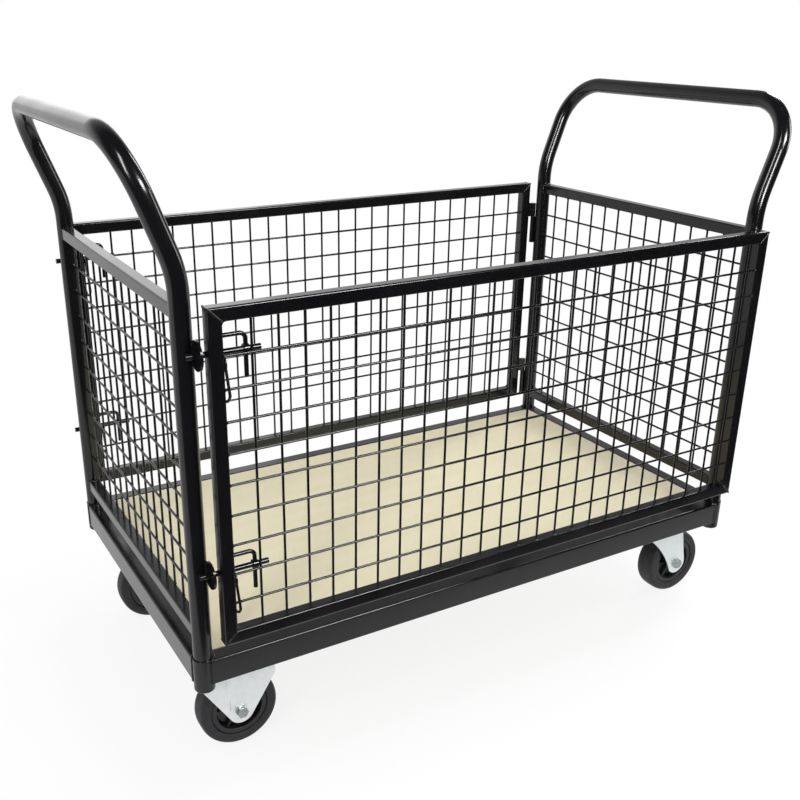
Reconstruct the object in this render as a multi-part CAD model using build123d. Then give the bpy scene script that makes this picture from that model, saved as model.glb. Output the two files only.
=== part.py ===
from build123d import *
import math
import os

# A four-sided mesh trolley in millimetres: X along it (hinge and swivel end at +X), Y across, Z up from the floor.

# Corner posts, which run on into the two push handles.
post_x = 498.5
post_y = 273
tube_r = 13.5
tube_wall = 2
handle_bend_z = 756
handle_bend_r = 150
handle_lean = 20.3
handle_bar_z = 916
handle_corner_r = 80

# Sockets that hold the posts, and the deck frame between them.
socket_r = 15
socket_top = 215.5
socket_bottom = 163
socket_slip = 0.05
socket_lip = 4
socket_lip_r = 10
member_height = 40
member_width = 25
member_wall = 2
member_top = 214.5
member_inset = 0.3
corner_round = 2.5

# Plywood deck and the channels under it.
deck_thickness = 12
deck_top = 214
deck_slip = 0.5
deck_corner = 8
channel_wall = 3
castor_channel = 100
board_channel = 40
board_channel_x = 145

# Square tube and wire of the gates and end frames.
bar = 19
bar_wall = 1.5
bar_round = 2.5
wire_r = 1.8
wire_setback = 2.5
pitch_along = 36.8
gate_bottom = 244
gate_height = 474
gate_out = 296.5
gate_first_wire = -418
gate_rows = 9
end_verticals = 13

# The front gate is one wire longer than the back one and laps over its hinge post.
gate_left = {"front": -476, "back": -489}
gate_right = {"front": 498.8, "back": 476}
gate_verticals = {"front": 25, "back": 24}
hinge_turn = {"front": 108.5, "back": 45}

# Lift-off gate hinges on the +X posts.
pin_r = 3
pin_slip = 0.06
knuckle_r = 5
knuckle_height = 55
hinge_reach = 18.3
lug_r = 4.4
lug_height = 28
lug_depth = 6
pin_length = 46
hinge_heights = (648, 301)

# Slide-bolt latches at the -X posts, placed from the gate's -X edge.
bolt_r = 4
bolt_slip = 0.08
bolt_out = 293.6
bolt_lead = 26
bolt_tail = 72
bolt_over_wire = 2.5
bolt_rows = (8, 1)
keeper_r = 19.5
keeper_hole_r = 5
keeper_thickness = 3
keeper_lead = 11.5
guide_r = 3
guide_rise = 21
guide_drop = 36
guide_set = 52.3
guide_bend_r = 8
guide_eye_r = 6.5
guide_eye_length = 7
ring_r = 2
ring_set = 21.5
ring_top_r = 9
ring_bottom_r = 20.5
ring_height = 62

# Castors: fixed at the -X end, swivelling at the +X end.
wheel_r = 62.5
wheel_width = 37
tyre_inner_r = 45
tyre_shoulder = 10
rim_width = 32
rim_inner_r = 37
web_thickness = 8
boss_r = 14
boss_width = 42
spokes = 6
spoke_width = 4
spoke_height = 22
axle_r = 5
axle_slip = 0.06
hex_across = 16
hex_thickness = 6
fork_gap = 43
fork_wall = 3
fork_bend = 5
fork_foot_r = 20.5
plate_long = 116
plate_wide = 85
plate_corner = 8
plate_thickness = 3.5
plate_bolts_long = 76
plate_bolts_wide = 66
castor_y = 201
fixed_x = -427
fixed_top_width = 114
fixed_shoulder = 114
rib_offset = -21.5
rib_top = 160
rib_bottom = 73
rib_r = 6
rib_rise = 2
swivel_x = 436
swivel_trail = 44
swivel_shoulder = 132
swivel_hollow = 5
crown_front = -33
crown_back = 46
race_r = 33
race_depth = 9.5
race_gap = 0.4
crown_r = 30
crown_rise = 3
king_r = 6
king_head_r = 10
king_head_height = 5
fixing_r = 4
fixing_slip = 0.2
fixing_across = 13
fixing_head = 5

# Values worked out from the sizes above.
member_bottom = member_top - member_height
member_y = post_y + socket_r - member_inset - member_width / 2
member_x = post_x + socket_r - member_inset - member_width / 2
inner_y = member_y - member_width / 2
inner_x = member_x - member_width / 2
deck_bottom = deck_top - deck_thickness
handle_out = (handle_bar_z - handle_bend_z) * math.tan(math.radians(handle_lean))
gate_top = gate_bottom + gate_height
pitch_up = (gate_height - 2 * bar) / (gate_rows + 1)
row_z = [gate_bottom + bar + pitch_up * (row + 1) for row in range(gate_rows)]
row_out = gate_out + bar / 2 - wire_setback
column_out = row_out - 2 * wire_r
plate_bottom = member_bottom - plate_thickness
crown_top = plate_bottom - race_depth - race_gap
os.makedirs("parts", exist_ok=True)


def save(name, solids):
    """Write one sub-part, a list of one or more separate solids."""
    export_step(solids[0] if len(solids) == 1 else Compound(solids), f"parts/{name}.step")


def mirrored(solids):
    """The same pieces on the back side of the trolley."""
    return [mirror(solid, about=Plane.XZ) for solid in solids]


def rod(radius, start, end):
    """A straight round rod from one point to another."""
    axis = Vector(*end) - Vector(*start)
    return extrude(Plane(start, z_dir=axis) * Circle(radius), axis.length)


def posts(radius):
    """Four upright cylinders on the post axes, used to cope what is welded to them."""
    height = 2 * handle_bar_z
    return [Pos(sx * post_x, sy * post_y, 0) * Cylinder(radius, height) for sx in (-1, 1) for sy in (-1, 1)]


def box_tube(width, height, wall, rounding, length):
    """A rectangular tube along X, centred, width across Y and height up Z."""
    outline = RectangleRounded(width, height, rounding) - Rectangle(width - 2 * wall, height - 2 * wall)
    return extrude(Plane.YZ * outline, length / 2, both=True)


def hexagon(across, thickness):
    """A hexagonal head or nut standing on the XY plane."""
    return extrude(RegularPolygon(across / 2, 6, major_radius=False), thickness)


def handle(side):
    """One push handle: two posts, a bend outward, and rounded corners into the cross bar."""
    low_z = socket_bottom + socket_lip
    bar_x = side * (post_x + handle_out)
    path = FilletPolyline(
        (side * post_x, -post_y, low_z),
        (side * post_x, -post_y, handle_bend_z),
        (bar_x, -post_y, handle_bar_z),
        (bar_x, post_y, handle_bar_z),
        (side * post_x, post_y, handle_bend_z),
        (side * post_x, post_y, low_z),
        radius=[handle_bend_r, handle_corner_r, handle_corner_r, handle_bend_r],
    )
    ring = Circle(tube_r) - Circle(tube_r - tube_wall)
    return sweep(Plane((side * post_x, -post_y, low_z)) * ring, path=path)


def sockets():
    """Short tubes at the deck's corners, with an inner lip that the post stands on."""
    height = socket_top - socket_bottom
    body = fillet((Pos(0, 0, height / 2) * Cylinder(socket_r, height)).edges().sort_by(Axis.Z)[0], corner_round)
    body -= Pos(0, 0, socket_lip) * extrude(Circle(tube_r + socket_slip), height)
    body -= extrude(Circle(socket_lip_r), height)
    return [Pos(sx * post_x, sy * post_y, socket_bottom) * body for sx in (-1, 1) for sy in (-1, 1)]


def side_member():
    """The front long member of the deck frame, coped to the sockets."""
    tube = box_tube(member_width, member_height, member_wall, corner_round, 2 * post_x)
    return Pos(0, -member_y, member_top - member_height / 2) * tube - posts(socket_r)


def end_member(side):
    """A short member of the deck frame, coped to the sockets."""
    tube = Rot(0, 0, 90) * box_tube(member_width, member_height, member_wall, corner_round, 2 * post_y)
    return Pos(side * member_x, 0, member_top - member_height / 2) * tube - posts(socket_r)


def channel(x, width):
    """A folded channel across the deck frame, open upwards, that carries the board on its two edges."""
    depth = deck_bottom - member_bottom
    outline = Pos(0, depth / 2) * Rectangle(width, depth)
    outline = fillet(outline.vertices().group_by(Axis.Y)[0], corner_round)
    outline -= Pos(0, channel_wall + depth / 2) * Rectangle(width - 2 * channel_wall, depth)
    return Pos(x, 0, member_bottom) * extrude(Plane.XZ * outline, inner_y, both=True)


def fixing_holes(x, y):
    """The four holes of a castor plate."""
    points = GridLocations(plate_bolts_long, plate_bolts_wide, 2, 2)
    return [Pos(x, y, member_bottom) * spot * Cylinder(fixing_r + fixing_slip, 6 * channel_wall) for spot in points]


def castor_channel_at(x):
    """The wide channel that two castors bolt to."""
    return channel(x, castor_channel) - fixing_holes(x, castor_y) - fixing_holes(x, -castor_y)


def castor_fixings():
    """Bolt and nut, drawn up tight, through each hole of the four castor plates."""
    grip = plate_thickness + channel_wall
    fixing = Pos(0, 0, -fixing_head) * hexagon(fixing_across, fixing_head) + extrude(Circle(fixing_r), grip)
    fixing += Pos(0, 0, grip) * hexagon(fixing_across, fixing_head)
    spots = GridLocations(plate_bolts_long, plate_bolts_wide, 2, 2)
    centres = [(x, y) for x in (fixed_x, swivel_x) for y in (-castor_y, castor_y)]
    return [Pos(x, y, plate_bottom) * spot * fixing for x, y in centres for spot in spots]


def deck():
    """The plywood board, let into the frame."""
    outline = Rectangle(2 * (inner_x - deck_slip), 2 * (inner_y - deck_slip))
    outline = chamfer(outline.vertices(), deck_corner)
    return Pos(0, 0, deck_bottom) * extrude(outline, deck_thickness)


def end_rail(side, bottom):
    """A square rail between the two posts of one end."""
    tube = Rot(0, 0, 90) * box_tube(bar, bar, bar_wall, bar_round, 2 * post_y)
    return Pos(side * post_x, 0, bottom + bar / 2) * tube - posts(tube_r)


def end_mesh(side):
    """Upright wires between the rails, and level wires outside them between the posts."""
    column_x = side * (post_x - bar / 2 + wire_r)
    row_x = column_x + side * 2 * wire_r
    low = gate_bottom + bar
    high = gate_top - bar
    first = -pitch_along * (end_verticals - 1) / 2
    wires = []
    for column in range(end_verticals):
        y = first + column * pitch_along
        wires.append(rod(wire_r, (column_x, y, low), (column_x, y, high)))
    for z in row_z:
        level = rod(wire_r, (row_x, -post_y, z), (row_x, post_y, z)) - posts(tube_r)
        wires.append(level.solids().sort_by(SortBy.VOLUME)[-1])
    return wires


def gate_bars(gate):
    """A gate's four mitred square tubes: top, bottom, latch stile and hinge stile."""
    width = gate_right[gate] - gate_left[gate]
    centre_x = (gate_left[gate] + gate_right[gate]) / 2
    centre_z = gate_bottom + gate_height / 2
    long_tube = box_tube(bar, bar, bar_wall, bar_round, width)
    short_tube = Rot(0, 90, 0) * box_tube(bar, bar, bar_wall, bar_round, gate_height)

    def mitred(tube, outer, inner, turn):
        blank = Polygon((-outer / 2, bar / 2), (outer / 2, bar / 2), (inner / 2, -bar / 2), (-inner / 2, -bar / 2),
                        align=None)
        return tube & Rot(0, turn, 0) * extrude(Plane.XZ * blank, bar, both=True)

    top = mitred(long_tube, width, width - 2 * bar, 0)
    bottom = mitred(long_tube, width, width - 2 * bar, 180)
    left = mitred(short_tube, gate_height, gate_height - 2 * bar, -90)
    right = mitred(short_tube, gate_height, gate_height - 2 * bar, 90)
    rise = (gate_height - bar) / 2
    reach = (width - bar) / 2
    place = Pos(centre_x, -gate_out, centre_z)
    left = place * Pos(-reach, 0, 0) * left
    for z in bolt_heights():
        edge = gate_left[gate]
        left -= rod(bolt_r + bolt_slip, (edge - bar, -bolt_out, z), (edge + 2 * bar, -bolt_out, z))
    return {
        "top_rail": place * Pos(0, 0, rise) * top,
        "bottom_rail": place * Pos(0, 0, -rise) * bottom,
        "latch_stile": left,
        "hinge_stile": place * Pos(reach, 0, 0) * right,
    }


def gate_mesh(gate):
    """A gate's wires: uprights inside, level wires outside, both butted to the frame."""
    wires = []
    for column in range(gate_verticals[gate]):
        x = gate_first_wire + column * pitch_along
        wires.append(rod(wire_r, (x, -column_out, gate_bottom + bar), (x, -column_out, gate_top - bar)))
    for z in row_z:
        wires.append(rod(wire_r, (gate_left[gate] + bar, -row_out, z), (gate_right[gate] - bar, -row_out, z)))
    return wires


def hinge_axis(gate):
    """Where a gate's pins stand beside the hinge post, turned about the post from its -X side."""
    turn = math.radians(hinge_turn[gate])
    return post_x - hinge_reach * math.cos(turn), -post_y - hinge_reach * math.sin(turn)


def hinge_knuckles(gate):
    """Tube knuckles welded to the hinge post, open at the top to take the gate's pins."""
    x, y = hinge_axis(gate)
    knuckles = []
    for z in hinge_heights:
        knuckle = extrude(Circle(knuckle_r) - Circle(pin_r + pin_slip), -knuckle_height)
        knuckles.append(Pos(x, y, z) * knuckle - posts(tube_r))
    return knuckles


def hinge_lugs(gate):
    """Lugs on the gate's hinge stile, each with a pin that drops into its knuckle.

    A lug's outline tapers from a round eye to the stile, so that it passes the post as the gate opens.
    """
    x, y = hinge_axis(gate)
    eye = Pos(x, y) * CenterArc((0, 0), lug_r, 0, 360)
    root_x = gate_right[gate]
    root_y = bar / 2 - bar_round - gate_out
    root = Line((root_x, root_y), (root_x, root_y - lug_depth))
    outline = make_hull([eye, root])
    lugs = []
    for z in hinge_heights:
        lug = Pos(0, 0, z) * extrude(outline, lug_height)
        lugs.append(lug + Pos(x, y, z) * extrude(Circle(pin_r), -pin_length))
    return lugs


def bolt_heights():
    """The height of each latch bolt, just over its level wire."""
    return [row_z[row] + bolt_over_wire for row in bolt_rows]


def keepers(gate):
    """Thick washers on edge, coped and welded to the latch post."""
    keeper_x = gate_left[gate] - keeper_lead
    plates = []
    for z in bolt_heights():
        disc = extrude(Plane.YZ * (Circle(keeper_r) - Circle(keeper_hole_r)), keeper_thickness / 2, both=True)
        plates.append((Pos(keeper_x, -bolt_out, z) * disc - posts(tube_r)).solids()[0])
    return plates


def bolt_guides(gate):
    """Bent rods from the latch stile, each with an eye that the bolt runs through."""
    guide_x = gate_left[gate] + guide_set
    guides = []
    for z in bolt_heights():
        path = FilletPolyline(
            (gate_left[gate] + bar, -bolt_out, z + guide_rise),
            (guide_x, -bolt_out, z + guide_rise),
            (guide_x, -bolt_out, z - guide_drop),
            radius=guide_bend_r,
        )
        guide = sweep(Plane(path @ 0, z_dir=(1, 0, 0)) * Circle(guide_r), path=path)
        eye = Plane((guide_x, -bolt_out, z), z_dir=(1, 0, 0))
        guide += extrude(eye * Circle(guide_eye_r), guide_eye_length / 2, both=True)
        guide -= extrude(eye * Circle(bolt_r + bolt_slip), guide_eye_length, both=True)
        guides.append(guide)
    return guides


def latch_bolt(gate, z):
    """A round bolt, and the pear-shaped pull ring welded under it."""
    edge = gate_left[gate]
    bolt = rod(bolt_r, (edge - bolt_lead, -bolt_out, z), (edge + bolt_tail, -bolt_out, z))
    top_z = -bolt_r - ring_r - ring_top_r
    low_z = -bolt_r - ring_height + ring_r + ring_bottom_r
    tangent = math.degrees(math.asin((ring_top_r - ring_bottom_r) / (top_z - low_z)))
    top_arc = CenterArc((0, top_z), ring_top_r, 90, tangent - 90)
    low_arc = CenterArc((0, low_z), ring_bottom_r, tangent, -90 - tangent)
    path = Wire([top_arc, Line(top_arc @ 1, low_arc @ 0), low_arc])
    half = sweep(Plane(path @ 0, z_dir=path % 0) * Circle(ring_r), path=path)
    ring = half + mirror(half, about=Plane.YZ)
    ring = Plane((edge + ring_set, -bolt_out, z), x_dir=(0, 1, 0), z_dir=(1, 0, 0)) * ring
    return [bolt, ring - bolt]


def tyre(x, y):
    """A rubber tyre with round shoulders."""
    outline = Pos((tyre_inner_r + wheel_r) / 2, 0) * Rectangle(wheel_r - tyre_inner_r, wheel_width)
    outline = fillet(outline.vertices().group_by(Axis.X)[-1], tyre_shoulder)
    return Pos(x, y, wheel_r) * Rot(90, 0, 0) * revolve(Plane.XZ * outline, Axis.Z)


def hub(x, y):
    """A hub of one rim, a thin web and a boss that runs on the axle, stiffened by spokes on both faces."""
    outline = Polygon(
        (axle_r + axle_slip, 0),
        (tyre_inner_r, 0),
        (tyre_inner_r, rim_width / 2),
        (rim_inner_r, rim_width / 2),
        (rim_inner_r, web_thickness / 2),
        (boss_r, web_thickness / 2),
        (boss_r, boss_width / 2),
        (axle_r + axle_slip, boss_width / 2),
        align=None,
    )
    outline += mirror(outline, about=Plane.XZ)
    wheel = revolve(Plane.XZ * outline, Axis.Z)
    reach = (boss_r + tyre_inner_r) / 2
    for spoke in PolarLocations(reach / 2 + boss_r / 2, spokes):
        wheel += spoke * Box(reach - boss_r / 2, spoke_width, spoke_height)
    return Pos(x, y, wheel_r) * Rot(90, 0, 0) * wheel


def axle(x, y):
    """An axle bolt through the fork, with its head on the outer side and its nut on the inner side."""
    side = math.copysign(1, y)
    half = fork_gap / 2 + fork_wall
    shaft = extrude(Circle(axle_r), half, both=True)
    shaft += Pos(0, 0, half) * hexagon(hex_across, hex_thickness)
    shaft += Pos(0, 0, -half - hex_thickness) * hexagon(hex_across, hex_thickness)
    return Pos(x, y, wheel_r) * Rot(-90 * side, 0, 0) * shaft


def fork(axle_x, outline, top):
    """Sheet steel bent to a U over the wheel, its two legs cut to an outline seen from the side."""
    drop = top - wheel_r + fork_foot_r
    wide = fork_gap + 2 * fork_wall
    section = Pos(0, -drop / 2) * Rectangle(wide, drop)
    section = fillet(section.vertices().group_by(Axis.Y)[-1], fork_bend)
    section -= Pos(0, -fork_wall - drop / 2) * Rectangle(fork_gap, drop)
    bent = Pos(0, 0, top) * extrude(Plane.YZ * section, plate_long, both=True)
    bent &= extrude(Plane.XZ * outline, wide, both=True)
    return bent - Pos(axle_x, 0, wheel_r) * Rot(90, 0, 0) * Cylinder(axle_r, 2 * wide)


def foot(axle_x):
    """The round end of a fork's leg about the axle."""
    return Pos(axle_x, wheel_r) * CenterArc((0, 0), fork_foot_r, 0, 360)


def castor_plate():
    """The castor's top plate, with its four holes."""
    plate = extrude(RectangleRounded(plate_long, plate_wide, plate_corner), plate_thickness)
    return Pos(0, 0, plate_bottom) * plate - fixing_holes(0, 0)


def fixed_fork():
    """A fixed castor's plate and fork, with a pressed rib on each leg."""
    half = fixed_top_width / 2
    shoulders = Polyline((-half, fixed_shoulder), (-half, plate_bottom), (half, plate_bottom), (half, fixed_shoulder))
    body = fork(0, make_hull([*shoulders.edges(), foot(0)]), plate_bottom)
    face_y = fork_gap / 2 + fork_wall
    sunk_y = face_y + rib_rise - rib_r
    rib = rod(rib_r, (rib_offset, sunk_y, rib_bottom), (rib_offset, sunk_y, rib_top))
    for z in (rib_bottom, rib_top):
        rib += Pos(rib_offset, sunk_y, z) * Sphere(rib_r)
    rib = split(rib, Plane((0, face_y, 0), z_dir=(0, 1, 0)))
    return castor_plate() + body + rib + mirror(rib, about=Plane.XZ)


def swivel_plate():
    """A swivel castor's plate, with its ball race and the king pin riveted under the fork's crown."""
    race = Pos(0, 0, plate_bottom - race_depth) * extrude(Circle(race_r), race_depth)
    below = crown_top - crown_rise - fork_wall - race_gap
    pin = rod(king_r, (0, 0, below), (0, 0, plate_bottom))
    head = rod(king_head_r, (0, 0, below - king_head_height), (0, 0, below))
    return castor_plate() + race + pin + head


def swivel_outline(top):
    """The swivel fork's leg: a lip under the crown, a hollow leading edge and a straight trailing edge."""
    lip = Polyline((crown_front, swivel_shoulder), (crown_front, top), (crown_back, top))
    leg = make_hull([*lip.edges(), foot(swivel_trail)])
    across = crown_front - swivel_trail
    rise = swivel_shoulder - wheel_r
    turn = math.atan2(rise, across) + math.acos(fork_foot_r / math.hypot(rise, across))
    low = (swivel_trail + fork_foot_r * math.cos(turn), wheel_r + fork_foot_r * math.sin(turn))
    high = (crown_front, swivel_shoulder)
    middle = ((low[0] + high[0]) / 2 + swivel_hollow, (low[1] + high[1]) / 2 + swivel_hollow)
    return leg - make_face([ThreePointArc(low, middle, high), Line(high, low)])


def swivel_fork():
    """The swivelling fork, with the raised seat of the ball race on its crown."""
    web_top = crown_top - crown_rise
    body = fork(swivel_trail, swivel_outline(web_top), web_top)
    body += Pos(0, 0, web_top) * extrude(Circle(crown_r), crown_rise)
    return body - rod(king_r + axle_slip, (0, 0, 0), (0, 0, plate_bottom))


# Chassis: deck frame, deck, handles and end frames.
front_member = side_member()
save("side_member_front", [front_member])
save("side_member_back", mirrored([front_member]))
save("corner_sockets", sockets())
save("plywood_deck", [deck()])
save("board_channels", [channel(-board_channel_x, board_channel), channel(board_channel_x, board_channel)])
save("castor_channel_fixed", [castor_channel_at(fixed_x)])
save("castor_channel_swivel", [castor_channel_at(swivel_x)])
save("castor_fixings", castor_fixings())
for end, side in (("left", -1), ("right", 1)):
    save(f"end_member_{end}", [end_member(side)])
    save(f"handle_{end}", [handle(side)])
    save(f"end_top_rail_{end}", [end_rail(side, gate_top - bar)])
    save(f"end_bottom_rail_{end}", [end_rail(side, gate_bottom)])
    save(f"end_mesh_{end}", end_mesh(side))

# Gates, hinges and latches; the back ones are laid out like the front ones, then mirrored.
for gate in ("front", "back"):
    pieces = {f"gate_{name}": [solid] for name, solid in gate_bars(gate).items()}
    pieces["gate_mesh"] = gate_mesh(gate)
    pieces["gate_hinge_lugs"] = hinge_lugs(gate)
    pieces["hinge_knuckles"] = hinge_knuckles(gate)
    pieces["latch_keepers"] = keepers(gate)
    pieces["bolt_guides"] = bolt_guides(gate)
    for level, height in zip(("upper", "lower"), bolt_heights()):
        pieces[f"latch_bolt_{level}"] = latch_bolt(gate, height)
    for name, solids in pieces.items():
        save(f"{name}_{gate}", solids if gate == "front" else mirrored(solids))

# Castors.
plate_and_fork = fixed_fork()
pivot_plate = swivel_plate()
turning_fork = swivel_fork()
for face, y in (("front", -castor_y), ("back", castor_y)):
    save(f"fixed_fork_{face}", [Pos(fixed_x, y, 0) * plate_and_fork])
    save(f"swivel_plate_{face}", [Pos(swivel_x, y, 0) * pivot_plate])
    save(f"swivel_fork_{face}", [Pos(swivel_x, y, 0) * turning_fork])
    for kind, x in (("fixed", fixed_x), ("swivel", swivel_x + swivel_trail)):
        save(f"{kind}_axle_{face}", [axle(x, y)])
        save(f"{kind}_tyre_{face}", [tyre(x, y)])
        save(f"{kind}_hub_{face}", [hub(x, y)])
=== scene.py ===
import math

import bmesh
import bpy
import numpy as np
from mathutils import Matrix, Vector


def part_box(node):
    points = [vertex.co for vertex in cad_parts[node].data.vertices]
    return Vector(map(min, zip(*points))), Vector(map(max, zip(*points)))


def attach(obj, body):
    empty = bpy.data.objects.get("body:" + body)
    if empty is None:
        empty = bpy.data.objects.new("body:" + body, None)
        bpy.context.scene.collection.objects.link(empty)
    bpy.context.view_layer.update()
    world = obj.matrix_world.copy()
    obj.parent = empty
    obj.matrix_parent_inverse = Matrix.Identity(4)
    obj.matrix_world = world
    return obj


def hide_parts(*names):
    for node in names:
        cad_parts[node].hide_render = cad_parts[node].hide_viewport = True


# The looks of a four-sided mesh trolley, in metres: X along it, Y across it, Z up from the floor.
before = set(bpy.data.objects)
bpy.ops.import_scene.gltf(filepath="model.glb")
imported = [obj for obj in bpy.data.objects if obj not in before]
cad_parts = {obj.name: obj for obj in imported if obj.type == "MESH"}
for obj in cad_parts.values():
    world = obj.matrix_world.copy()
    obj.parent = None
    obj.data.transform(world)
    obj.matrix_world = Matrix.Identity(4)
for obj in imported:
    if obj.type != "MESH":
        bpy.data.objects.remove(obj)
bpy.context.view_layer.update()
MM = 0.001

# Sizes that the welds share with the solids: posts, sockets, wires, keepers, knuckles and latch bolts.
TUBE_RADIUS = 13.5 * MM
SOCKET_RADIUS = 15 * MM
WIRE_RADIUS = 1.8 * MM
WIRE_PITCH = 36.8 * MM
FIRST_WIRE = -418 * MM
GATE_WIRES = {"front": 25, "back": 24}
END_WIRES = 13
WIRE_ROWS = 9
KEEPER_RADIUS = 19.5 * MM
KNUCKLE_HEIGHT = 55 * MM
HINGE_DROP = 347 * MM
BOLT_RADIUS = 4 * MM
BOLT_DROP = 305.2 * MM
RING_PLACE = 47.5 * MM
GUIDE_RADIUS = 3 * MM

# Weld beads: their radii, and in radii how deep they sink, how far off they stand and a taper's least length.
MITRE_BEAD = 1.5 * MM
RAIL_BEAD = 1.9 * MM
MEMBER_BEAD = 2.3 * MM
SMALL_BEAD = 1.4 * MM
BEAD_SINK = 0.5
BEAD_STANDOFF = 0.3
BEAD_TIP = 0.04

# Where the small beads run: beside a knuckle and short of its ends, up a keeper's chord, under a bolt.
KNUCKLE_BEAD_ASIDE = 3.4 * MM
KNUCKLE_BEAD_STOP = 2 * MM
KEEPER_BEAD_SHARE = 0.9
RING_BEAD_REACH = 4 * MM

# The length of one ripple of a weld and how much it swells, a gate's corner welds and the wire ends' welds.
RIPPLE_LENGTH = 2.6 * MM
RIPPLE_SWELL = 0.24
CORNER_FILLET = 4.5 * MM
FILLET_SINK = 0.1
WIRE_WELD = 2.7 * MM
WIRE_WELD_LENGTH = 0.5
WIRE_WELD_END = 0.96

# How finely the surfaces are drawn.
BEAD_SIDES = 10
BEAD_STEP = 0.55 * MM
FEWEST_POINTS = 4
GUIDE_BEAD_POINTS = 48
FILLET_POINTS = 8
FILLET_ROWS = 24
WIRE_WELD_SIDES = 8
WIRE_WELD_ROWS = 5
WHEEL_SIDES = 96
TYRE_POINTS = 72
RIB_POINTS = 16
RIB_ROWS = 6
ROUNDING_STEPS = 4
SHARP_ANGLE = math.radians(40)

# Tyres: the powers that shape crown, shoulder and seat, and the groove, which is kept to the side wall.
TYRE_INNER = 45 * MM
CROWN_POWER = 0.62
SHOULDER_POWER = 0.55
SEAT_POWER = 0.25
GROOVE_RADIUS = 47.5 * MM
GROOVE_WIDTH = 0.9 * MM
GROOVE_DEPTH = 0.8 * MM
SIDE_WALL_FROM = 0.4

# Hubs: bore, boss, web and rim, the slope between them, and the ribs.
RIM_INNER = 37 * MM
RIM_HALF = 16 * MM
WEB_HALF = 4 * MM
BOSS_RADIUS = 14 * MM
BOSS_HALF = 21 * MM
BORE_RADIUS = 5.06 * MM
HUB_SLOPE = 2 * MM
HUB_ROUNDING = 1.2 * MM
RIBS = 6
RIB_WIDTH = 5 * MM
RIB_HALF = 11 * MM
RIB_OVERLAP = 1 * MM
RIB_POWER = 0.5

# The floor's reach, where reflections see it go dark, and where the shadow on it fades out.
FLOOR_REACH = 14.0
SWEEP_DARK_Y = -0.65
SWEEP_WHITE_Y = -0.54
SHADOW_FULL = 0.4
SHADOW_GONE = 1.1

# The photograph's view: where the camera stands, the point it looks at, its roll, lens and frame shift.
CAMERA_PLACE = Vector((-0.87377, -1.38557, 1.03708))
CAMERA_AIM = Vector((-0.08095, 0.0, 0.39048))
CAMERA_ROLL = math.radians(0.336)
CAMERA_LENS = 44.644
CAMERA_SENSOR = 36
CAMERA_SHIFT = (0.04026, 0.02537)


def linear(colour):
    """An sRGB hex colour as the linear red, green, blue and alpha that a socket takes."""
    parts = np.array([int(colour[i:i + 2], 16) for i in (1, 3, 5)]) / 255
    parts = np.where(parts <= 0.04045, parts / 12.92, ((parts + 0.055) / 1.055) ** 2.4)
    return (*parts.tolist(), 1)


def add(tree, kind, settings, inputs):
    """Add one node, set its properties, and set or link each input that is named."""
    made = tree.nodes.new(kind)
    for name, value in settings.items():
        setattr(made, name, value)
    for name, value in inputs.items():
        if isinstance(value, bpy.types.NodeSocket):
            tree.links.new(value, made.inputs[name])
        else:
            made.inputs[name].default_value = value
    return made


def started(name):
    """A new material with its node tree, its shader and the object coordinates that its patterns read."""
    material = bpy.data.materials.new(name)
    material.use_nodes = True
    tree = material.node_tree
    place = add(tree, "ShaderNodeTexCoord", {}, {}).outputs["Object"]
    return material, tree, tree.nodes["Principled BSDF"], place


def gloss_black_powder_coat():
    """Polyester powder sprayed on steel and baked: an even gloss black film. Melted powder levels into a
    faint orange peel, so reflections stay bright but have slightly wavering edges."""
    material, tree, shader, place = started("gloss_black_powder_coat")
    drift = add(tree, "ShaderNodeTexNoise", {}, {"Vector": place, "Scale": 1 / (70 * MM), "Detail": 3})
    colour = add(tree, "ShaderNodeMix", {"data_type": "RGBA"},
                 {0: drift.outputs["Fac"], 6: linear("#0c0c0e"), 7: linear("#151518")})
    gloss = add(tree, "ShaderNodeMapRange", {},
                {"Value": drift.outputs["Fac"], "From Min": 0.3, "From Max": 0.7,
                 "To Min": 0.13, "To Max": 0.21})
    peel = add(tree, "ShaderNodeTexNoise", {}, {"Vector": place, "Scale": 1 / (5 * MM), "Detail": 0})
    bump = add(tree, "ShaderNodeBump", {},
               {"Height": peel.outputs["Fac"], "Strength": 0.012, "Distance": 0.25 * MM})
    tree.links.new(colour.outputs[2], shader.inputs["Base Color"])
    tree.links.new(gloss.outputs["Result"], shader.inputs["Roughness"])
    tree.links.new(bump.outputs["Normal"], shader.inputs["Normal"])
    shader.inputs["IOR"].default_value = 1.5
    return material


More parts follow.
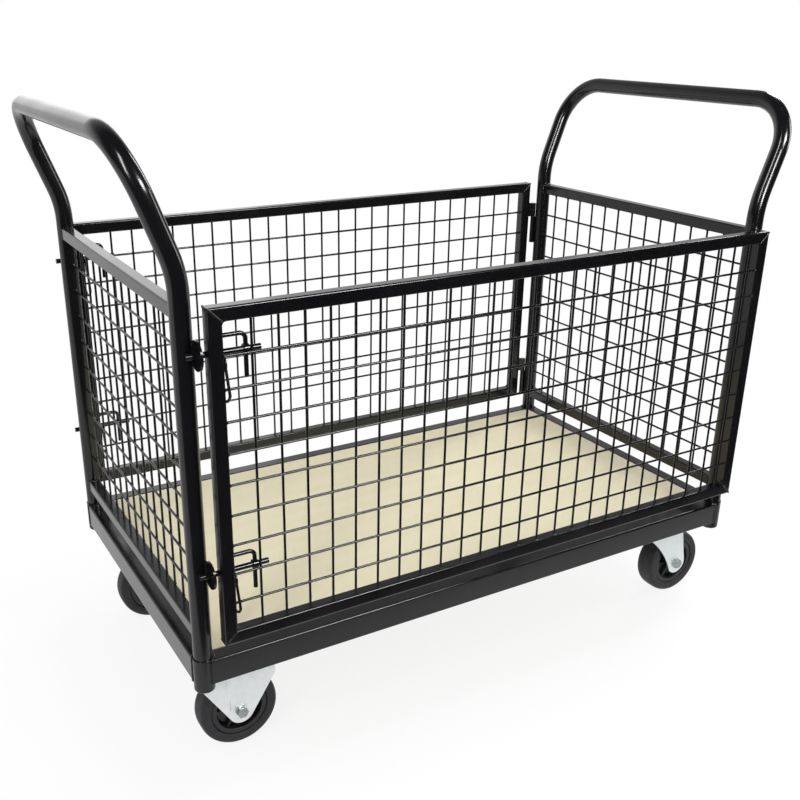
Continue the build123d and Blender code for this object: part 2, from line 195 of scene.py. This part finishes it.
def poplar_plywood():
    """Rotary-cut poplar veneer, sanded and sealed: pale cream with soft wavering figure along the board,
    short pores and a dull sheen. The pores are drawn coarser than real ones, which would not show."""
    material, tree, shader, place = started("poplar_plywood")
    stretched = add(tree, "ShaderNodeMapping", {"vector_type": "POINT"},
                    {"Vector": place, "Scale": (0.09, 1, 1)})
    figure = add(tree, "ShaderNodeTexNoise", {},
                 {"Vector": stretched.outputs["Vector"], "Scale": 1 / (45 * MM),
                  "Detail": 4, "Distortion": 1.1})
    pores = add(tree, "ShaderNodeTexNoise", {},
                {"Vector": stretched.outputs["Vector"], "Scale": 1 / (1.6 * MM), "Detail": 2})
    pale = add(tree, "ShaderNodeMix", {"data_type": "RGBA"},
               {0: figure.outputs["Fac"], 6: linear("#ddd6ba"), 7: linear("#d4cbac")})
    speck = add(tree, "ShaderNodeMapRange", {},
                {"Value": pores.outputs["Fac"], "From Min": 0.62, "From Max": 0.78,
                 "To Min": 0, "To Max": 0.35})
    colour = add(tree, "ShaderNodeMix", {"data_type": "RGBA"},
                 {0: speck.outputs["Result"], 6: pale.outputs[2], 7: linear("#bfae88")})
    sheen = add(tree, "ShaderNodeMapRange", {},
                {"Value": figure.outputs["Fac"], "From Min": 0.3, "From Max": 0.7,
                 "To Min": 0.5, "To Max": 0.62})
    bump = add(tree, "ShaderNodeBump", {},
               {"Height": pores.outputs["Fac"], "Strength": 0.25, "Distance": 0.1 * MM})
    tree.links.new(colour.outputs[2], shader.inputs["Base Color"])
    tree.links.new(sheen.outputs["Result"], shader.inputs["Roughness"])
    tree.links.new(bump.outputs["Normal"], shader.inputs["Normal"])
    return material


def zinc_plate(name, cloud_size, pale, dull, glossiest, roughest):
    """Steel, electroplated with zinc: a metal with a cool cast, softly clouded where the bath plated
    unevenly, with the grain of the rolled sheet, drawn coarser than it is so that it shows. Barrel-plated
    bolts are duller and more patchy than a pressed fork."""
    material, tree, shader, place = started(name)
    cloud = add(tree, "ShaderNodeTexNoise", {}, {"Vector": place, "Scale": 1 / cloud_size, "Detail": 4})
    colour = add(tree, "ShaderNodeMix", {"data_type": "RGBA"},
                 {0: cloud.outputs["Fac"], 6: linear(pale), 7: linear(dull)})
    gloss = add(tree, "ShaderNodeMapRange", {},
                {"Value": cloud.outputs["Fac"], "From Min": 0.3, "From Max": 0.7,
                 "To Min": glossiest, "To Max": roughest})
    grain = add(tree, "ShaderNodeTexNoise", {}, {"Vector": place, "Scale": 1 / (0.8 * MM), "Detail": 2})
    bump = add(tree, "ShaderNodeBump", {},
               {"Height": grain.outputs["Fac"], "Strength": 0.1, "Distance": 0.1 * MM})
    tree.links.new(colour.outputs[2], shader.inputs["Base Color"])
    tree.links.new(gloss.outputs["Result"], shader.inputs["Roughness"])
    tree.links.new(bump.outputs["Normal"], shader.inputs["Normal"])
    shader.inputs["Metallic"].default_value = 1
    return material


def moulded_rubber():
    """Solid black rubber out of a mould: charcoal, dull, with a trace of dust and mould release in broad
    patches. The mould's texture is drawn coarser than it is, so that it shows."""
    material, tree, shader, place = started("moulded_rubber")
    dust = add(tree, "ShaderNodeTexNoise", {}, {"Vector": place, "Scale": 1 / (18 * MM), "Detail": 5})
    colour = add(tree, "ShaderNodeMix", {"data_type": "RGBA"},
                 {0: dust.outputs["Fac"], 6: linear("#15151a"), 7: linear("#1f1f25")})
    dull = add(tree, "ShaderNodeMapRange", {},
               {"Value": dust.outputs["Fac"], "From Min": 0.3, "From Max": 0.7,
                "To Min": 0.5, "To Max": 0.66})
    texture = add(tree, "ShaderNodeTexNoise", {}, {"Vector": place, "Scale": 1 / (0.9 * MM), "Detail": 2})
    bump = add(tree, "ShaderNodeBump", {},
               {"Height": texture.outputs["Fac"], "Strength": 0.2, "Distance": 0.1 * MM})
    tree.links.new(colour.outputs[2], shader.inputs["Base Color"])
    tree.links.new(dull.outputs["Result"], shader.inputs["Roughness"])
    tree.links.new(bump.outputs["Normal"], shader.inputs["Normal"])
    return material


def moulded_polypropylene():
    """Injection-moulded black polypropylene: a satin black with the fine spark-eroded texture of its tool,
    which is drawn coarser than it is, so that it shows."""
    material, tree, shader, place = started("moulded_polypropylene")
    flow = add(tree, "ShaderNodeTexNoise", {}, {"Vector": place, "Scale": 1 / (12 * MM), "Detail": 2})
    colour = add(tree, "ShaderNodeMix", {"data_type": "RGBA"},
                 {0: flow.outputs["Fac"], 6: linear("#0d0d0e"), 7: linear("#161617")})
    satin = add(tree, "ShaderNodeMapRange", {},
                {"Value": flow.outputs["Fac"], "From Min": 0.3, "From Max": 0.7,
                 "To Min": 0.36, "To Max": 0.46})
    spark = add(tree, "ShaderNodeTexNoise", {}, {"Vector": place, "Scale": 1 / (0.7 * MM), "Detail": 1})
    bump = add(tree, "ShaderNodeBump", {},
               {"Height": spark.outputs["Fac"], "Strength": 0.2, "Distance": 0.08 * MM})
    tree.links.new(colour.outputs[2], shader.inputs["Base Color"])
    tree.links.new(satin.outputs["Result"], shader.inputs["Roughness"])
    tree.links.new(bump.outputs["Normal"], shader.inputs["Normal"])
    return material


def skin(points, closed):
    """The points of a grid and its faces. Columns close on themselves; rows do too where closed, and
    otherwise each end row is one flat face."""
    rows, columns = points.shape[:2]
    row, column = np.mgrid[0:rows if closed else rows - 1, 0:columns]
    here = row * columns
    there = (row + 1) % rows * columns
    after = (column + 1) % columns
    corners = (here + column, here + after, there + after, there + column)
    faces = np.stack(corners, -1).reshape(-1, 4).tolist()
    if not closed:
        last = (rows - 1) * columns
        faces += [list(range(columns))[::-1], list(range(last, last + columns))]
    return points.reshape(-1, 3), faces


def travel(path):
    """The length travelled along a path up to each of its points."""
    return np.concatenate(([0], np.cumsum(np.linalg.norm(np.diff(path, axis=0), axis=1))))


def evenly(corners, step, closed):
    """Points one step apart along straight runs between corners, by the length travelled."""
    corners = np.asarray(corners, float)
    if closed:
        corners = np.concatenate((corners, corners[:1]))
    travelled = travel(corners)
    count = max(FEWEST_POINTS, round(travelled[-1] / step))
    wanted = np.linspace(0, travelled[-1], count, endpoint=not closed)
    return np.stack([np.interp(wanted, travelled, column) for column in corners.T], -1)


def carried(path, rings, up, closed):
    """A ring of (side, lift) offsets carried along a path: side is square to the path and to up, and lift is
    square to both."""
    ahead = np.roll(path, -1, 0) - np.roll(path, 1, 0) if closed else np.gradient(path, axis=0)
    ahead /= np.linalg.norm(ahead, axis=1, keepdims=True)
    side = np.cross(ahead, np.asarray(up, float))
    side /= np.linalg.norm(side, axis=1, keepdims=True)
    lift = np.cross(side, ahead)
    points = path[:, None] + rings[..., :1] * side[:, None] + rings[..., 1:] * lift[:, None]
    return skin(points, closed)


def circle(sides):
    """Points round a circle of radius one."""
    turn = np.linspace(0, 2 * math.pi, sides, endpoint=False)
    return np.stack((np.cos(turn), np.sin(turn)), -1)


def ripples(travelled):
    """How much a weld swells at a length along it: once for each ripple of the weld pool, as the square of a
    sine."""
    return 1 + RIPPLE_SWELL * np.sin(math.pi * travelled / RIPPLE_LENGTH) ** 2


def bead(path, radius, up, closed=False):
    """A weld bead: a circle carried along the joint, its radius swelling with the ripples, and at each end of
    an open bead shrinking over one radius as the root of the length left."""
    travelled = travel(path)
    swell = ripples(travelled)
    if not closed:
        to_end = np.minimum(travelled, travelled[-1] - travelled)
        swell = swell * np.sqrt(np.clip(to_end / radius, BEAD_TIP, 1))
    return carried(path, radius * swell[:, None, None] * circle(BEAD_SIDES), up, closed)


def straight_bead(start, end, radius, up):
    """A weld bead along a straight joint."""
    return bead(evenly((start, end), BEAD_STEP, False), radius, up)


def turned(outline, centre):
    """A closed outline of (radius, across) turned about the wheel's axle, which runs along Y."""
    angle = np.linspace(0, 2 * math.pi, WHEEL_SIDES, endpoint=False)[:, None]
    radius, across = outline[:, 0], outline[:, 1]
    points = np.stack((radius * np.cos(angle), across + 0 * angle, radius * np.sin(angle)), -1)
    return skin(points + centre, True)


def rounded(corners, size):
    """A closed outline whose corners are each replaced by a short parabola that meets both sides in line."""
    corners = np.asarray(corners, float)
    before = np.roll(corners, 1, 0) - corners
    after = np.roll(corners, -1, 0) - corners
    before *= size / np.linalg.norm(before, axis=1, keepdims=True)
    after *= size / np.linalg.norm(after, axis=1, keepdims=True)
    t = np.linspace(0, 1, ROUNDING_STEPS + 1)[None, :, None]
    points = corners[:, None] + (1 - t) ** 2 * before[:, None] + t ** 2 * after[:, None]
    return points.reshape(-1, 2)


def piece(name, skins, material, body, stands_for=()):
    """One object made of several closed skins, smooth but for sharp corners, riding on a body."""
    starts = np.cumsum([0] + [len(points) for points, faces in skins])
    corners = []
    for start, (points, faces) in zip(starts, skins):
        corners += [[start + corner for corner in face] for face in faces]
    mesh = bpy.data.meshes.new(name)
    mesh.from_pydata(np.concatenate([points for points, faces in skins]).tolist(), [], corners)
    shell = bmesh.new()
    shell.from_mesh(mesh)
    bmesh.ops.recalc_face_normals(shell, faces=shell.faces)
    shell.to_mesh(mesh)
    shell.free()
    mesh.shade_smooth()
    mesh.set_sharp_from_angle(angle=SHARP_ANGLE)
    mesh.materials.append(material)
    made = bpy.data.objects.new(name, mesh)
    bpy.context.collection.objects.link(made)
    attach(made, body)
    if stands_for:
        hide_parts(*stands_for)


def corners_of(node):
    """A node's lowest and highest corners as arrays."""
    return (np.array(corner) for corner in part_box(node))


def tyre(node):
    """A tyre: an outline turned about the axle. Round the outline by an angle t it is a superellipse, each of
    cosine and sine raised to a power below one, so that the tread is a low crown between round shoulders. A
    bell curve taken off its width is the moulded groove in each side wall."""
    low, high = corners_of(node)
    size = high - low
    outer = size[2] / 2
    t = np.linspace(0, 2 * math.pi, TYRE_POINTS, endpoint=False)
    out = np.cos(t)
    aside = np.sin(t)
    power = np.where(out > 0, CROWN_POWER, SEAT_POWER)
    radius = (outer + TYRE_INNER) / 2 + (outer - TYRE_INNER) / 2 * np.sign(out) * np.abs(out) ** power
    half = size[1] / 2 * np.abs(aside) ** np.where(out > 0, SHOULDER_POWER, SEAT_POWER)
    groove = GROOVE_DEPTH * np.exp(-((radius - GROOVE_RADIUS) / GROOVE_WIDTH) ** 2)
    half = half - groove * (np.abs(aside) > SIDE_WALL_FROM)
    return turned(np.stack((radius, half * np.sign(aside)), -1), (low + high) / 2)


def hub(node):
    """A hub: a rounded outline of bore, boss, web and rim turned about the axle, and ribs that stand out on
    both sides of the web, each a superellipse carried straight out from the boss to the rim."""
    low, high = corners_of(node)
    centre = (low + high) / 2
    outer = (high[2] - low[2]) / 2
    side = [(BORE_RADIUS, BOSS_HALF), (BOSS_RADIUS, BOSS_HALF), (BOSS_RADIUS + HUB_SLOPE, WEB_HALF),
            (RIM_INNER - HUB_SLOPE, WEB_HALF), (RIM_INNER, RIM_HALF), (outer, RIM_HALF)]
    far_side = [(radius, -across) for radius, across in reversed(side)]
    skins = [turned(rounded(side + far_side, HUB_ROUNDING), centre)]
    ring = circle(RIB_POINTS)
    ring = np.sign(ring) * np.abs(ring) ** RIB_POWER * (RIB_WIDTH / 2, RIB_HALF)
    reach = np.linspace(BOSS_RADIUS - RIB_OVERLAP, RIM_INNER + RIB_OVERLAP, RIB_ROWS)[:, None]
    for angle in np.arange(RIBS) * 2 * math.pi / RIBS:
        path = centre + reach * (math.cos(angle), 0, math.sin(angle))
        skins.append(carried(path, np.repeat(ring[None], RIB_ROWS, 0), (0, 1, 0), False))
    return skins


def mitre_beads(face):
    """The beads along the four mitres of one gate, on its outer and inner faces, and the hollow weld left in
    each inner corner: a quarter circle curving away from the corner, carried across the bars."""
    low, high = corners_of(f"gate_top_rail_{face}")
    bar = high[2] - low[2]
    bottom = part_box(f"gate_bottom_rail_{face}")[0][2]
    sunk = BEAD_SINK * MITRE_BEAD
    t = np.linspace(0, math.pi / 2, FILLET_POINTS)
    hollow = np.stack((1 - np.sin(t), 1 - np.cos(t)), -1)
    root = [(-FILLET_SINK, -FILLET_SINK), (1, -FILLET_SINK)]
    outline = CORNER_FILLET * np.concatenate((root, hollow, [(-FILLET_SINK, 1)]))
    across = np.linspace(low[1] + MITRE_BEAD, high[1] - MITRE_BEAD, FILLET_ROWS)
    ripple = ripples(across - across[0])
    skins = []
    for x, inward in ((low[0], bar), (high[0], -bar)):
        for z, upward in ((high[2], -bar), (bottom, bar)):
            corner = np.array((x + inward, 0, z + upward))
            for y in (low[1] + sunk, high[1] - sunk):
                skins.append(straight_bead((x, y, z), (corner[0], y, corner[2]), MITRE_BEAD, (0, 1, 0)))
            path = corner + across[:, None] * (0, 1, 0)
            rings = ripple[:, None, None] * outline * np.sign((inward, upward))
            skins.append(carried(path, rings, (0, 0, 1), False))
    return skins


def coped_bead(node, along, post, post_radius, radius):
    """The bead round a square tube where it meets an upright round one. Each point of the tube's outline
    moves back along the tube by the round one's reach there, the root of its radius squared less the offset
    squared."""
    low, high = corners_of(node)
    middle = (low + high) / 2
    half = (high - low) / 2 - BEAD_SINK * radius
    across = 1 - along
    outline = rounded(((-half[across], -half[2]), (half[across], -half[2]), (half[across], half[2]),
                       (-half[across], half[2])), radius)
    outline = evenly(outline, BEAD_STEP, True)
    offset = middle[across] + outline[:, 0] - post[across]
    reach = np.sqrt(post_radius ** 2 - offset ** 2)
    path = np.empty((len(outline), 3))
    path[:, along] = post[along] - math.copysign(1, post[along]) * reach
    path[:, across] = middle[across] + outline[:, 0]
    path[:, 2] = middle[2] + outline[:, 1]
    return bead(path, radius, np.eye(3)[along], True)


def wire_welds(ends, way, up):
    """A small weld at each wire end: an ellipse turned about the wire, half as long as it is wide."""
    along = np.linspace(-WIRE_WELD_END, WIRE_WELD_END, WIRE_WELD_ROWS)
    rings = WIRE_WELD * np.sqrt(1 - along ** 2)[:, None, None] * circle(WIRE_WELD_SIDES)
    step = WIRE_WELD_LENGTH * WIRE_WELD * along[:, None] * np.asarray(way, float)
    return [carried(end + step, rings, up, False) for end in ends]


def grid_welds(node, level, uprights):
    """The welds at both ends of every wire of one mesh. Level wires run along one axis in even rows, and the
    uprights stand at given places along it, one wire further in."""
    low, high = corners_of(node)
    depth = 1 - level
    outward = math.copysign(1, low[depth] + high[depth])
    outer, inner = (high[depth], low[depth]) if outward > 0 else (low[depth], high[depth])
    rows = np.linspace(low[2], high[2], WIRE_ROWS + 2)[1:-1]

    def ends(places, first, depth_at, spans):
        """Both ends of wires at given places along a first axis, each spanning the other one."""
        grid = np.empty((2, len(places), 3))
        grid[:, :, first] = places
        grid[:, :, depth] = depth_at
        grid[:, :, 2 + level - first] = np.asarray(spans)[:, None]
        return grid.reshape(-1, 3)

    level_ends = ends(rows, 2, outer - outward * WIRE_RADIUS, (low[level], high[level]))
    upright_ends = ends(uprights, level, inner + outward * WIRE_RADIUS, (low[2], high[2]))
    across = np.eye(3)[depth]
    return wire_welds(level_ends, np.eye(3)[level], across) + wire_welds(upright_ends, (0, 0, 1), across)


def hinge_beads(face, post):
    """The bead down each knuckle, on the side away from the gate, where it lies against its post."""
    low, high = corners_of(f"hinge_knuckles_{face}")
    axis = (low[:2] + high[:2]) / 2
    outward = (axis - post) / np.linalg.norm(axis - post)
    aside = np.array((-outward[1], outward[0]))
    aside *= math.copysign(1, aside[0])
    x, y = post + TUBE_RADIUS * outward + KNUCKLE_BEAD_ASIDE * aside
    beads = []
    for top in (high[2], high[2] - HINGE_DROP):
        start = (x, y, top - KNUCKLE_BEAD_STOP)
        end = (x, y, top - KNUCKLE_HEIGHT + KNUCKLE_BEAD_STOP)
        beads.append(straight_bead(start, end, SMALL_BEAD, (0, 1, 0)))
    return beads


def keeper_beads(face, post):
    """The beads up both faces of each latch keeper, where the washer meets its post: as long as most of the
    washer's chord there, which is worked out from both radii."""
    low, high = corners_of(f"latch_keepers_{face}")
    outward = math.copysign(1, post[1])
    centre_y = (high[1] if outward > 0 else low[1]) - outward * KEEPER_RADIUS
    off = BEAD_STANDOFF * SMALL_BEAD
    beads = []
    for x, away in ((low[0], -1), (high[0], 1)):
        y = post[1] + outward * math.sqrt(TUBE_RADIUS ** 2 - (x - post[0]) ** 2)
        half = KEEPER_BEAD_SHARE * math.sqrt(KEEPER_RADIUS ** 2 - (y - centre_y) ** 2)
        for z in (high[2] - KEEPER_RADIUS, high[2] - KEEPER_RADIUS - BOLT_DROP):
            place = np.array((x + away * off, y + outward * off, z))
            beads.append(straight_bead(place - (0, 0, half), place + (0, 0, half), SMALL_BEAD, (1, 0, 0)))
    return beads


def guide_beads(face):
    """A ring of weld round each bolt guide where it leaves the gate's stile."""
    low, high = corners_of(f"bolt_guides_{face}")
    middle_y = (low[1] + high[1]) / 2
    ring = (GUIDE_RADIUS + BEAD_STANDOFF * SMALL_BEAD) * circle(GUIDE_BEAD_POINTS)
    beads = []
    for z in (high[2] - GUIDE_RADIUS, high[2] - GUIDE_RADIUS - BOLT_DROP):
        path = np.column_stack((np.full(len(ring), low[0]), middle_y + ring[:, 0], z + ring[:, 1]))
        beads.append(bead(path, SMALL_BEAD, (1, 0, 0), True))
    return beads


def ring_bead(node):
    """The short bead under a latch bolt that holds its pull ring."""
    low, high = corners_of(node)
    place = np.array((low[0] + RING_PLACE, (low[1] + high[1]) / 2, high[2] - 2 * BOLT_RADIUS))
    reach = np.array((0, RING_BEAD_REACH, 0))
    return straight_bead(place - reach, place + reach, SMALL_BEAD, (0, 0, 1))


def ray_kinds(tree):
    """Whether a ray comes from the camera, and whether it comes off a shiny or through a clear surface."""
    rays = add(tree, "ShaderNodeLightPath", {}, {}).outputs
    mirror = add(tree, "ShaderNodeMath", {"operation": "MAXIMUM"},
                 {0: rays["Is Glossy Ray"], 1: rays["Is Transmission Ray"]})
    return rays["Is Camera Ray"], mirror.outputs["Value"]


def white_sweep():
    """Matt white paper, which keeps the trolley's shadow. The camera sees it mostly plain white under the
    trolley and wholly so further out. Reflections see it white under and behind the trolley and dark in
    front, as in a studio whose sweep ends just before it."""
    material = bpy.data.materials.new("white_sweep")
    material.use_nodes = True
    tree = material.node_tree
    tree.nodes.clear()
    camera_ray, mirror_ray = ray_kinds(tree)
    place = add(tree, "ShaderNodeTexCoord", {}, {}).outputs["Object"]
    split = add(tree, "ShaderNodeSeparateXYZ", {}, {"Vector": place})
    sweep = add(tree, "ShaderNodeMapRange", {"interpolation_type": "SMOOTHSTEP"},
                {"Value": split.outputs["Y"], "From Min": SWEEP_DARK_Y, "From Max": SWEEP_WHITE_Y,
                 "To Min": 0.03, "To Max": 0.85})
    level = add(tree, "ShaderNodeMix", {"data_type": "FLOAT"},
                {0: mirror_ray, 2: 1, 3: sweep.outputs["Result"]})
    white = add(tree, "ShaderNodeEmission", {}, {"Color": linear("#ffffff"), "Strength": level.outputs[0]})
    paper = add(tree, "ShaderNodeBsdfDiffuse", {}, {"Color": linear("#f4f4f4")})
    away = add(tree, "ShaderNodeVectorMath", {"operation": "LENGTH"}, {0: place})
    fade = add(tree, "ShaderNodeMapRange", {"interpolation_type": "SMOOTHSTEP"},
               {"Value": away.outputs["Value"], "From Min": SHADOW_FULL, "From Max": SHADOW_GONE,
                "To Min": 0.85, "To Max": 1})
    seen = add(tree, "ShaderNodeMath", {"operation": "MULTIPLY"}, {0: fade.outputs["Result"], 1: camera_ray})
    share = add(tree, "ShaderNodeMath", {"operation": "MAXIMUM"}, {0: seen.outputs["Value"], 1: mirror_ray})
    mixed = add(tree, "ShaderNodeMixShader", {},
                {0: share.outputs["Value"], 1: paper.outputs[0], 2: white.outputs[0]})
    add(tree, "ShaderNodeOutputMaterial", {}, {"Surface": mixed.outputs[0]})
    return material


def floor():
    """The square of floor that the trolley stands on."""
    reach = FLOOR_REACH
    corners = [(-reach, -reach, 0), (reach, -reach, 0), (reach, reach, 0), (-reach, reach, 0)]
    mesh = bpy.data.meshes.new("floor")
    mesh.from_pydata(corners, [], [(0, 1, 2, 3)])
    made = bpy.data.objects.new("floor", mesh)
    bpy.context.collection.objects.link(made)
    mesh.materials.append(white_sweep())


def white_studio():
    """The surround. The camera sees it white, and matt surfaces are lit evenly by half of that. Reflections
    see a bright backdrop behind the trolley, which dims with height, and a dim room at its sides and in
    front."""
    world = bpy.data.worlds.new("white_studio")
    bpy.context.scene.world = world
    world.use_nodes = True
    tree = world.node_tree
    tree.nodes.clear()
    camera_ray, mirror_ray = ray_kinds(tree)
    direction = add(tree, "ShaderNodeTexCoord", {}, {}).outputs["Generated"]
    split = add(tree, "ShaderNodeSeparateXYZ", {}, {"Vector": direction})
    behind = add(tree, "ShaderNodeMapRange", {"interpolation_type": "SMOOTHSTEP"},
                 {"Value": split.outputs["Y"], "From Min": 0.3, "From Max": 0.95,
                  "To Min": 0.05, "To Max": 1})
    height = add(tree, "ShaderNodeMapRange", {"interpolation_type": "SMOOTHSTEP"},
                 {"Value": split.outputs["Z"], "From Min": 0.25, "From Max": 0.55,
                  "To Min": 1, "To Max": 0.55})
    studio = add(tree, "ShaderNodeMath", {"operation": "MULTIPLY"},
                 {0: behind.outputs["Result"], 1: height.outputs["Result"]})
    lit = add(tree, "ShaderNodeMix", {"data_type": "FLOAT"},
              {0: mirror_ray, 2: 0.5, 3: studio.outputs["Value"]})
    level = add(tree, "ShaderNodeMix", {"data_type": "FLOAT"}, {0: camera_ray, 2: lit.outputs[0], 3: 1})
    sky = add(tree, "ShaderNodeBackground", {}, {"Color": linear("#ffffff"), "Strength": level.outputs[0]})
    add(tree, "ShaderNodeOutputWorld", {}, {"Surface": sky.outputs[0]})


def lamp(name, place, aim, width, height, watts, lights_matt=True, lights_gloss=True, spread=180):
    """A soft box: a rectangle of light at a place, turned to face an aim. It can be kept from lighting matt
    surfaces, so that it only shows in reflections, or kept out of reflections. A grid on it narrows its
    spread, in degrees."""
    light = bpy.data.lights.new(name, "AREA")
    light.shape = "RECTANGLE"
    light.size = width
    light.size_y = height
    light.energy = watts
    light.spread = math.radians(spread)
    made = bpy.data.objects.new(name, light)
    bpy.context.collection.objects.link(made)
    made.location = place
    made.rotation_euler = (Vector(aim) - Vector(place)).to_track_quat("-Z", "Y").to_euler()
    made.visible_diffuse = lights_matt
    made.visible_glossy = lights_gloss


def camera():
    """The photograph's view."""
    data = bpy.data.cameras.new("photo_view")
    data.lens = CAMERA_LENS
    data.sensor_width = CAMERA_SENSOR
    data.shift_x, data.shift_y = CAMERA_SHIFT
    made = bpy.data.objects.new("photo_view", data)
    bpy.context.collection.objects.link(made)
    facing = (CAMERA_AIM - CAMERA_PLACE).to_track_quat("-Z", "Y").to_matrix().to_4x4()
    made.matrix_world = Matrix.Translation(CAMERA_PLACE) @ facing @ Matrix.Rotation(CAMERA_ROLL, 4, "Z")
    bpy.context.scene.camera = made


# Finishes of the carried-over nodes, by their material slot. Bolts have a duller plating than forks.
powder = gloss_black_powder_coat()
rubber = moulded_rubber()
plastic = moulded_polypropylene()
finishes = {
    "black_powder_coat": powder,
    "plywood": poplar_plywood(),
    "zinc_plate": zinc_plate("bright_zinc_plate", 14 * MM, "#fafcfc", "#e9eeee", 0.36, 0.5),
    "tyre_rubber": rubber,
    "hub_plastic": plastic,
}
bolt_finish = zinc_plate("dull_zinc_plate", 4 * MM, "#c3c8c8", "#7f8585", 0.42, 0.6)
for name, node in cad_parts.items():
    bolted = "_axle_" in name or name == "castor_fixings"
    for place in node.material_slots:
        place.material = bolt_finish if bolted else finishes[place.material.name]

# Wheels.
for kind in ("fixed", "swivel"):
    for face in ("front", "back"):
        body = f"{kind}_wheel_{face}"
        node = f"{kind}_tyre_{face}"
        piece(f"{kind}_tyre_rubber_{face}", [tyre(node)], rubber, body, [node])
        node = f"{kind}_hub_{face}"
        piece(f"{kind}_hub_ribbed_{face}", hub(node), plastic, body, [node])

# Welds of the deck frame and the end frames, which stay with the chassis.
post_x, post_y = np.array(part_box("corner_sockets")[1])[:2] - SOCKET_RADIUS
post_places = {}
for face, y in (("front", -post_y), ("back", post_y)):
    for end, x in (("left", -post_x), ("right", post_x)):
        post_places[face, end] = np.array((x, y))
frame_welds = []
for (face, end), post in post_places.items():
    frame_welds.append(coped_bead(f"side_member_{face}", 0, post, SOCKET_RADIUS, MEMBER_BEAD))
    frame_welds.append(coped_bead(f"end_member_{end}", 1, post, SOCKET_RADIUS, MEMBER_BEAD))
    for rail in ("top", "bottom"):
        frame_welds.append(coped_bead(f"end_{rail}_rail_{end}", 1, post, TUBE_RADIUS, RAIL_BEAD))
piece("deck_frame_welds", frame_welds, powder, "chassis")
end_uprights = (np.arange(END_WIRES) - (END_WIRES - 1) / 2) * WIRE_PITCH
for end in ("left", "right"):
    wire_ends = grid_welds(f"end_mesh_{end}", 1, end_uprights)
    piece(f"end_wire_welds_{end}", wire_ends, powder, "chassis")

# Welds of the gates, their latch bolts, and the knuckles and keepers on the posts beside them.
for face in ("front", "back"):
    body = f"{face}_gate"
    uprights = FIRST_WIRE + np.arange(GATE_WIRES[face]) * WIRE_PITCH
    wire_ends = grid_welds(f"gate_mesh_{face}", 0, uprights)
    post_welds = hinge_beads(face, post_places[face, "right"]) + keeper_beads(face, post_places[face, "left"])
    piece(f"gate_mitre_welds_{face}", mitre_beads(face), powder, body)
    piece(f"gate_wire_welds_{face}", wire_ends, powder, body)
    piece(f"bolt_guide_welds_{face}", guide_beads(face), powder, body)
    piece(f"hinge_and_keeper_welds_{face}", post_welds, powder, "chassis")
    for level in ("upper", "lower"):
        bolt = f"latch_bolt_{level}_{face}"
        piece(f"pull_ring_weld_{level}_{face}", [ring_bead(bolt)], powder, bolt)

# The studio: floor, surround and lamps. The two cards are there for the highlights on wires and handles.
floor()
white_studio()
lamp("overhead", (0.85, -0.25, 2.9), (0, 0, 0.3), 0.6, 1.2, 36, lights_gloss=False)
lamp("key_strip", (-2.2, -1.6, 2.3), (0, 0, 0.4), 0.45, 1.8, 45)
lamp("far_strip", (2.4, 0.9, 2.2), (0, 0, 0.5), 0.4, 1.6, 30)
lamp("right_strip", (2.8, -0.7, 1.2), (0, 0, 0.8), 0.7, 1.2, 16)
lamp("backdrop_glow", (0.1, 4.5, 1.9), (0, 0, 0.7), 3.2, 1.6, 11.3)
lamp("front_card", (0.75, -2.2, 1.9), (0, -0.3, 0.5), 0.9, 0.6, 62, lights_matt=False)
lamp("leg_card", (-0.12, -2.5, 1.2), (0.52, 0, 0.85), 0.5, 0.7, 2.3, lights_matt=False, spread=40)
camera()
bpy.context.scene.view_settings.view_transform = "Standard"
